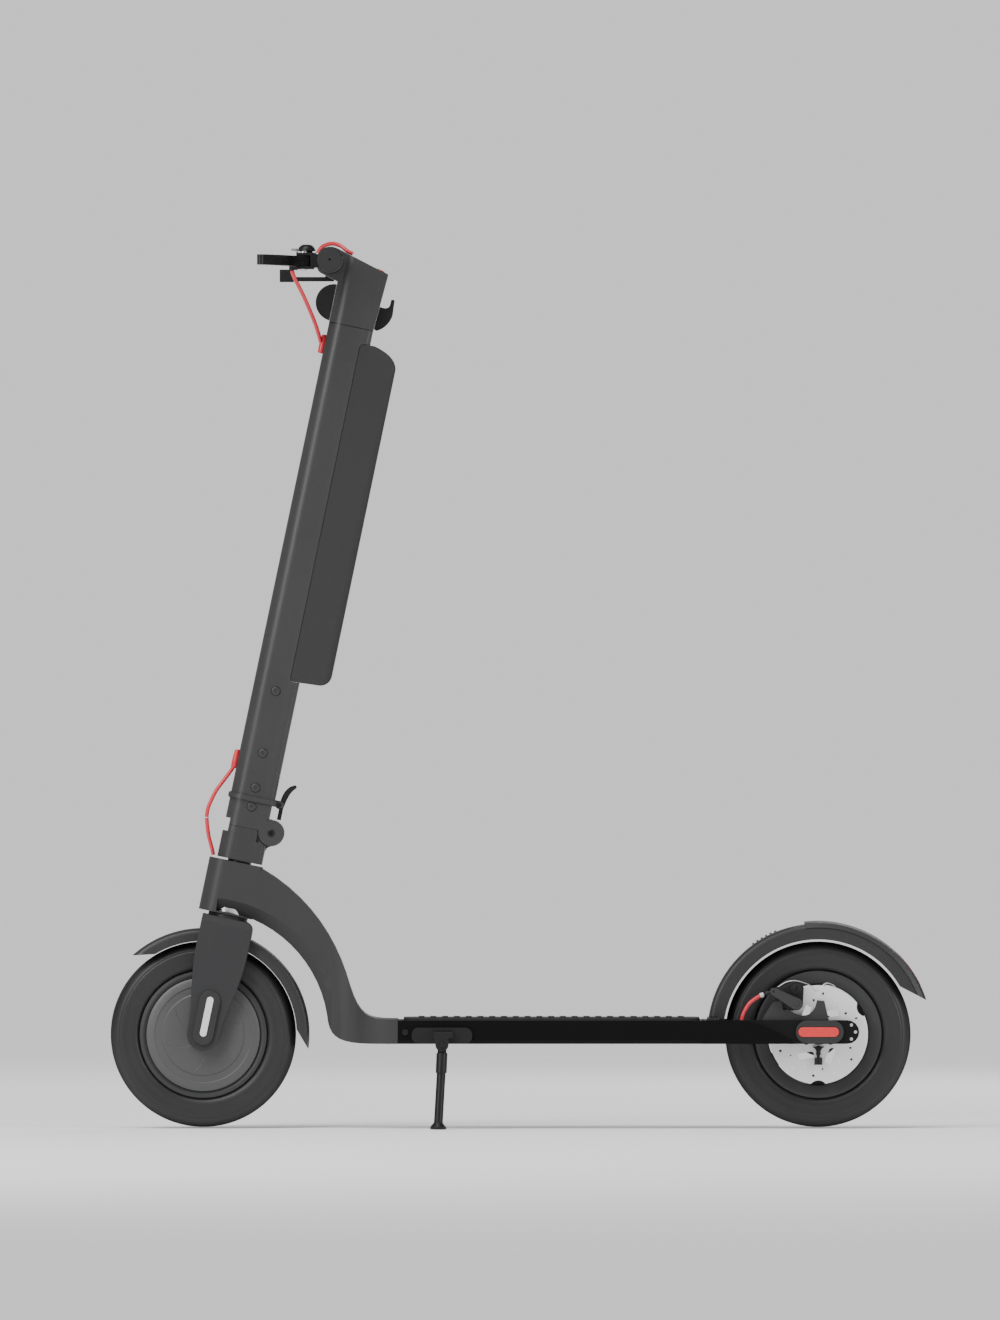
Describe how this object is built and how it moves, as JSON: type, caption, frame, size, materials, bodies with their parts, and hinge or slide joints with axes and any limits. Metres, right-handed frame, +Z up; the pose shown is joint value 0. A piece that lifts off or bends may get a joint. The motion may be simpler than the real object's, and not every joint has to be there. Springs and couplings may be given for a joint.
{
  "type": "electric kick scooter",
  "caption": "Folding electric kick scooter with a removable battery behind the stem, disc brake, hub motor and kickstand.",
  "frame": {"origin": "on the ground under the middle of the scooter's length", "axes": "+Z up, +X to the rear, -X is the way the scooter rides, -Y is its left side"},
  "size_m": [1.1077, 0.45, 1.2031],
  "materials": {
    "painted_frame": "satin",
    "black_deck": "matte",
    "mat_rubber": "matte",
    "fender_plastic": "satin",
    "reflector_red": "gloss",
    "reflector_white": "gloss",
    "steel": "brushed",
    "black_steel": "satin",
    "cast_grey": "satin",
    "disc_steel": "brushed",
    "cable_red": "satin",
    "tyre": "matte",
    "stem_paint": "satin",
    "motor_cover": "satin",
    "copper": "matte",
    "black_plastic": "satin",
    "grip_rubber": "matte",
    "lamp_lens": "gloss",
    "display_glass": "gloss",
    "battery_cover": "matte",
    "battery_alu": "satin",
    "cell_wrap": "gloss",
    "controller_alu": "satin",
    "bar_steel": "satin"
  },
  "bodies": {
    "frame": {"neck_frame": "painted_frame", "deck_shell": "black_deck", "deck_mat": "mat_rubber", "rear_fork": "cast_grey", "axle_caps": "fender_plastic", "rear_reflectors": "reflector_red", "rear_axle": "steel", "rear_fender": "fender_plastic", "tail_light": "reflector_red", "kick_bracket": "black_steel", "controller": "controller_alu", "headset_bearings": "steel", "caliper_bracket": "cast_grey", "caliper_body": "black_steel", "frame_screws": "steel", "rear_cable": "cable_red", "loop_cable_lower": "cable_red"},
    "caliper_lever": {"caliper_arm": "cast_grey"},
    "kickstand": {"kick_leg": "black_steel"},
    "rear_wheel": {"rear_tyre": "tyre", "rear_rim": "cast_grey", "rear_bearings": "steel", "brake_disc": "disc_steel", "disc_bolts": "black_steel", "rear_valve": "black_plastic"},
    "steering": {"fork": "painted_frame", "fork_caps": "fender_plastic", "front_reflectors": "reflector_white", "front_axle": "steel", "motor_stator": "copper", "front_fender": "fender_plastic", "stem_base": "painted_frame", "fold_pin": "black_steel"},
    "front_wheel": {"front_tyre": "tyre", "motor_shell": "motor_cover", "motor_covers": "motor_cover", "front_bearings": "steel"},
    "stem": {"stem_foot": "painted_frame", "stem_tube": "stem_paint", "stem_screws": "black_steel", "stem_head": "painted_frame", "bag_hook": "black_steel", "headlight": "black_plastic", "headlight_lens": "lamp_lens", "handlebar": "bar_steel", "grips": "grip_rubber", "lever_perch": "black_plastic", "bell": "black_plastic", "throttle_body": "black_plastic", "display": "display_glass", "bar_cables": "cable_red", "loop_cable_upper": "cable_red"},
    "latch": {"latch_lever": "black_steel"},
    "brake_hand_lever": {"brake_lever": "black_plastic"},
    "throttle": {"throttle_paddle": "black_plastic"},
    "bell_thumb": {"bell_striker": "black_plastic"},
    "power": {"power_button": "black_plastic"},
    "battery": {"battery_cover": "battery_cover", "battery_body": "battery_alu", "battery_cells": "cell_wrap"}
  },
  "joints": [
    {"name": "steer", "type": "hinge", "parent": "frame", "child": "steering", "pos_m": [-0.42694, 0, 0.127], "axis": [0.2045, 0, 0.9789], "range_deg": [-45, 45], "deforming": ["loop_cable_lower"]},
    {"name": "front_wheel_spin", "type": "hinge", "parent": "steering", "child": "front_wheel", "pos_m": [-0.42694, 0, 0.127], "axis": [0, 1, 0], "continuous": true},
    {"name": "rear_wheel_spin", "type": "hinge", "parent": "frame", "child": "rear_wheel", "pos_m": [0.40706, 0, 0.127], "axis": [0, 1, 0], "continuous": true},
    {"name": "stem_fold", "type": "hinge", "parent": "steering", "child": "stem", "pos_m": [-0.33468, 0, 0.3999], "axis": [0, 1, 0], "range_deg": [0, 85.5], "deforming": ["loop_cable_upper"]},
    {"name": "latch_pull", "type": "hinge", "parent": "stem", "child": "latch", "pos_m": [-0.32366, 0, 0.43795], "axis": [0, 1, 0], "range_deg": [0, 20], "stiffness_Nm_per_rad": 0.5, "springref_deg": -17.19},
    {"name": "brake_squeeze", "type": "hinge", "parent": "stem", "child": "brake_hand_lever", "pos_m": [-0.29002, -0.096, 1.17478], "axis": [0, 0, 1], "range_deg": [0, 18], "stiffness_Nm_per_rad": 1, "springref_deg": -17.19},
    {"name": "caliper_pull", "type": "hinge", "parent": "frame", "child": "caliper_lever", "pos_m": [0.37706, -0.066, 0.169], "axis": [0, -1, 0], "range_deg": [0, 14.4]},
    {"name": "throttle_press", "type": "hinge", "parent": "stem", "child": "throttle", "pos_m": [-0.25401, 0.08, 1.17478], "axis": [0, -1, 0], "range_deg": [0, 25], "stiffness_Nm_per_rad": 0.3, "springref_deg": -17.19},
    {"name": "bell_flick", "type": "hinge", "parent": "stem", "child": "bell_thumb", "pos_m": [-0.30001, -0.074, 1.18878], "axis": [0, 0, 1], "range_deg": [0, 25], "stiffness_Nm_per_rad": 0.02, "springref_deg": -11.46},
    {"name": "power_press", "type": "slide", "parent": "stem", "child": "power", "axis": [-0.4509, 0, -0.8926], "range_m": [0, 0.0012], "stiffness_N_per_m": 400, "springref_m": -0.0005},
    {"name": "kickstand_swing", "type": "hinge", "parent": "frame", "child": "kickstand", "pos_m": [-0.10294, -0.0875, 0.114], "axis": [0, -1, 0], "range_deg": [0, 88]},
    {"name": "battery_pull", "type": "slide", "parent": "stem", "child": "battery", "axis": [0.9789, 0, -0.2045], "range_m": [0, 0.09]}
  ],
  "couplings": [
    {"joint": "caliper_pull", "follows": "brake_squeeze", "ratio": 0.8}
  ]
}
